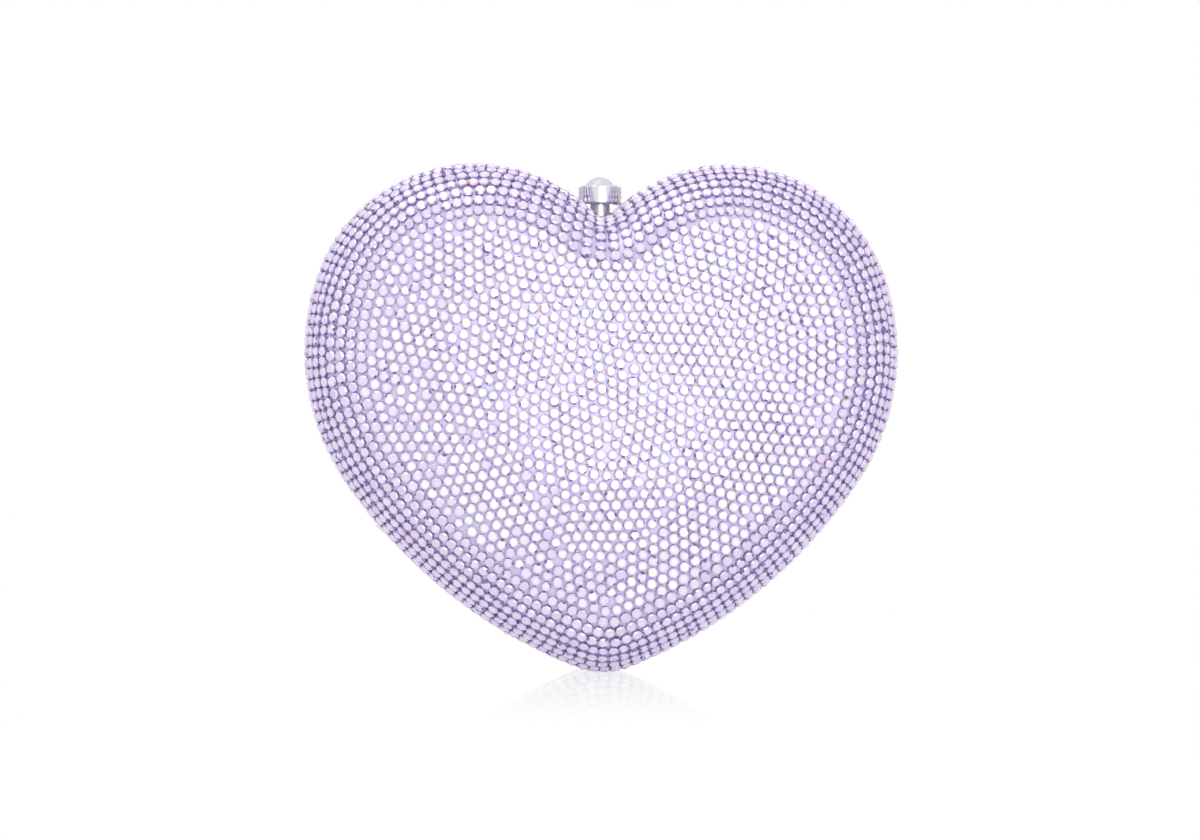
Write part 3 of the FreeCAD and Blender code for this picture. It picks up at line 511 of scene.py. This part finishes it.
def lining_sheet(name, window, turned):
    """A lining and its area: a grid wrapped round the inside of a half and closed at its middle,
    given its wall, with a window of a half width, a reach and a drop cut at the notch."""
    marks = np.linspace(0, len(outline), LINING_COLUMNS + 1)
    rows = []
    for distance in np.linspace(LINING_START - SKIN_START, LINING_REACH, LINING_ROWS):
        rows.append(on_row(marks, distance, LINING_INSET)[0])
    edge = rows[-1][:, [0, 2]]
    for share in np.linspace(1, 0, LINING_FACE_ROWS + 1)[1:]:
        rows.append(on_face(peak + (edge - peak) * share, LINING_INSET)[0])
    corners = np.concatenate(rows) * ((-1, 1, 1) if turned else (1, -1, 1))
    bpy.ops.mesh.primitive_grid_add(x_subdivisions=LINING_COLUMNS, y_subdivisions=len(rows) - 1)
    lining = bpy.context.object
    lining.name = name
    lining.data.vertices.foreach_set("co", corners.ravel())
    bpy.ops.object.mode_set(mode="EDIT")
    bpy.ops.mesh.select_all(action="SELECT")
    bpy.ops.mesh.remove_doubles(threshold=LINING_MERGE)
    bpy.ops.mesh.normals_make_consistent(inside=False)
    bpy.ops.object.mode_set(mode="OBJECT")
    area = sum(face.area for face in lining.data.polygons)
    wall = lining.modifiers.new("wall", "SOLIDIFY")
    wall.thickness, wall.offset = LINING_WALL, -1
    bpy.ops.object.modifier_apply(modifier="wall")
    side, reach, drop = window
    middle = reach / 2 if turned else -reach / 2
    bpy.ops.mesh.primitive_cube_add(size=1, location=(0, middle, notch_floor))
    cutter = bpy.context.object
    cutter.scale = (2 * side, reach, 2 * drop)
    bpy.context.view_layer.objects.active = lining
    opening = lining.modifiers.new("window", "BOOLEAN")
    opening.object = cutter
    bpy.ops.object.modifier_apply(modifier="window")
    bpy.data.objects.remove(cutter)
    bpy.ops.object.select_all(action="DESELECT")
    lining.select_set(True)
    bpy.ops.object.shade_smooth_by_angle(angle=LINING_SMOOTH)
    return lining, area


def kid_leather():
    """Fine grained silver lilac leather."""
    material, shader, place = new_finish("kid_leather", Metallic=0.15)
    grain = place.node("ShaderNodeTexVoronoi", {"feature": "DISTANCE_TO_EDGE"},
                       {"Vector": place, "Scale": LEATHER_GRAIN})
    mottle = place.noise(LEATHER_MOTTLE, 4)
    relief = grain + 0.3 * place.noise(LEATHER_CREASES)
    feed(shader, Base_Color=mottle.blend(LEATHER_LOW, LEATHER_HIGH),
         Roughness=0.42 + 0.2 * mottle, Normal=relief.bump(LEATHER_RELIEF))
    return material


leather = kid_leather()
for half, window, turned in (("front", FRONT_WINDOW, False), ("back", BACK_WINDOW, True)):
    lining, area = lining_sheet(half + "_leather", window, turned)
    lining.data.materials.clear()
    lining.data.materials.append(leather)
    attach(lining, half + "_half")
    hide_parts(half + "_lining")


# The lock: a brass block and bush brazed into the back rim, and a striker riveted into the front
# half. All of it stays bare satin metal inside the purse.

dress(silver_plate("lock_metal", (0.52, 0.50, 0.47), (0.68, 0.66, 0.62), 0.24), "lock_block",
      "guide_bush", "striker", "striker_rivets", "catch_rivets")


# The catch: a strip of bright spring steel with a nose at its end, riveted under the block. The
# button's stem presses it down between the rivets and the nose.

LEAF_HELD, LEAF_PRESSED, LEAF_LEVEL, LEAF_CUTS = 0.0072, 0.0016, 0.0992, 12
LEAF_MERGE = 0.000001


def catch_strip():
    """The strip of the catch, cut across in many places between where the stem presses it and where
    it is held.
    """
    source = nodes["catch_spring"]
    mesh = source.data.copy()
    mesh.transform(source.matrix_world)
    strip = bpy.data.objects.new("catch_leaf", mesh)
    bpy.context.collection.objects.link(strip)
    bpy.ops.object.select_all(action="DESELECT")
    strip.select_set(True)
    bpy.context.view_layer.objects.active = strip
    bpy.ops.object.mode_set(mode="EDIT")
    bpy.ops.mesh.select_all(action="SELECT")
    bpy.ops.mesh.remove_doubles(threshold=LEAF_MERGE)
    for place in np.linspace(LEAF_PRESSED, LEAF_HELD, LEAF_CUTS):
        bpy.ops.mesh.select_all(action="SELECT")
        bpy.ops.mesh.bisect(plane_co=(0, place, 0), plane_no=(0, 1, 0))
    bpy.ops.object.mode_set(mode="OBJECT")
    return strip


leaf = catch_strip()
leaf.data.materials.clear()
leaf.data.materials.append(
    silver_plate("spring_steel", (0.42, 0.43, 0.45), (0.58, 0.59, 0.61), 0.22))
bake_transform(leaf)
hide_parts("catch_spring")


# The push button: a turned and polished brass cap on its stem, silver plated, with a pale glass
# dome set in its top. The retaining ring holds the stem in its bush.

DOME_LOW, DOME_HIGH, DOME_CLOUDS = (0.60, 0.62, 0.68), (0.71, 0.73, 0.78), 300


def milky_glass():
    """Pale blue grey glass over a white seat, with faint clouds in it."""
    material, shader, place = new_finish("milky_glass", IOR=1.52, Coat_Weight=0.2,
                                         Coat_Roughness=0.03)
    clouds = place.noise(DOME_CLOUDS, 3)
    feed(shader, Base_Color=clouds.blend(DOME_LOW, DOME_HIGH), Roughness=0.04 + 0.06 * clouds)
    return material


dress(silver_plate("polished_silver", (0.70, 0.67, 0.72), (0.82, 0.80, 0.84), 0.02), "button_cap")
dress(silver_plate("satin_silver", (0.86, 0.85, 0.87), (0.94, 0.93, 0.94), 0.35),
      "button_stem", "button_ring")
dress(milky_glass(), "button_dome")


# The stage: a white studio with three soft boxes, and the camera. The floor is a clear sheet with
# a trace of shadow and of the purse's mirror image, so that the opened lid shows below it.

FLOOR_SIZE, FLOOR_WHITE = 6, (0.9, 0.9, 0.9, 1)
SHADOW_REACH, SHADOW_SHARE = 0.10, 0.05
MIRROR_REACH, MIRROR_SHARE, MIRROR_BLUR, MIRROR_IOR = 0.16, 0.42, 0.04, 1.45
STUDIO_LIGHT, STUDIO_SEEN = 0.7, 0.3
LAMPS = (("key", (0.2, -1.4, 0.16), 0.8, 6.8), ("top", (-0.3, -0.3, 1.1), 0.7, 2.8),
         ("back", (0.2, 1.3, 0.5), 1.0, 3.2))
LAMP_TARGET = Vector((0, 0, 0.065))
CAMERA_AWAY, CAMERA_SIDE, CAMERA_HEIGHT = 0.9, math.radians(-4.5), 0.064
SENSOR_WIDTH, VIEW_WIDTH = 36, 0.3082


def looked_at(tree):
    """1 for rays from the camera, from a mirror or through glass, and 0 for light that bounces."""
    ray = tree.nodes.new("ShaderNodeLightPath")
    seen = Wire(tree, ray.outputs["Is Camera Ray"])
    for name in ("Is Glossy Ray", "Is Transmission Ray"):
        seen = seen.calculate("MAXIMUM", seen, Wire(tree, ray.outputs[name]))
    return seen


def white_sweep():
    """Clear sheet with a little paper and a faint mirror near the purse. Light that bounces meets
    plain paper, and from below the sheet is all clear."""
    material = bpy.data.materials.new("white_sweep")
    material.use_nodes = True
    tree = material.node_tree
    tree.nodes.remove(tree.nodes["Principled BSDF"])
    place = Wire(tree, tree.nodes.new("ShaderNodeTexCoord").outputs["Object"])
    away = place.node("ShaderNodeVectorMath", {"operation": "LENGTH"}, {0: place}, output="Value")

    def near(reach, share):
        """A share at the tip that fades to nothing at its reach."""
        return away.node("ShaderNodeMapRange", {}, {"Value": away, "From Max": reach,
                                                    "To Min": share, "To Max": 0})

    def mix(share, first, second):
        return place.node("ShaderNodeMixShader", {}, {0: share, 1: first, 2: second})

    clear = place.node("ShaderNodeBsdfTransparent", {}, {"Color": (1, 1, 1, 1)})
    paper = place.node("ShaderNodeBsdfDiffuse", {}, {"Color": FLOOR_WHITE})
    shine = place.node("ShaderNodeBsdfGlossy", {}, {"Color": (1, 1, 1, 1),
                                                    "Roughness": MIRROR_BLUR})
    glance = place.node("ShaderNodeFresnel", {}, {"IOR": MIRROR_IOR})
    sheet = mix(near(SHADOW_REACH, SHADOW_SHARE), clear, paper)
    sheet = mix(glance * near(MIRROR_REACH, MIRROR_SHARE), sheet, shine)
    above = mix(looked_at(tree), paper, sheet)
    below = Wire(tree, tree.nodes.new("ShaderNodeNewGeometry").outputs["Backfacing"])
    surface = mix(below, above, clear)
    tree.links.new(surface.socket, tree.nodes["Material Output"].inputs["Surface"])
    return material


bpy.ops.mesh.primitive_plane_add(size=FLOOR_SIZE, location=(0, 0, 0))
floor = bpy.context.object
floor.name = "floor"
floor.data.materials.append(white_sweep())

scene = bpy.context.scene
world = bpy.data.worlds.new("studio")
scene.world = world
world.use_nodes = True
sky = world.node_tree
background = sky.nodes["Background"]
background.inputs["Color"].default_value = (1, 1, 1, 1)
strength = STUDIO_LIGHT + STUDIO_SEEN * looked_at(sky)
sky.links.new(strength.socket, background.inputs["Strength"])

for name, place, size, power in LAMPS:
    lamp = bpy.data.lights.new(name, "AREA")
    lamp.size, lamp.energy = size, power
    light = bpy.data.objects.new(name, lamp)
    bpy.context.collection.objects.link(light)
    light.location = place
    aim = LAMP_TARGET - light.location
    light.rotation_euler = aim.to_track_quat("-Z", "Y").to_euler()

view = bpy.data.cameras.new("camera")
view.sensor_width = SENSOR_WIDTH
view.lens = SENSOR_WIDTH * CAMERA_AWAY / VIEW_WIDTH
camera = bpy.data.objects.new("camera", view)
bpy.context.collection.objects.link(camera)
camera.location = (CAMERA_AWAY * math.sin(CAMERA_SIDE), -CAMERA_AWAY * math.cos(CAMERA_SIDE),
                   CAMERA_HEIGHT)
camera.rotation_euler = (math.pi / 2, 0, CAMERA_SIDE)
scene.camera = camera
scene.view_settings.view_transform = "Standard"
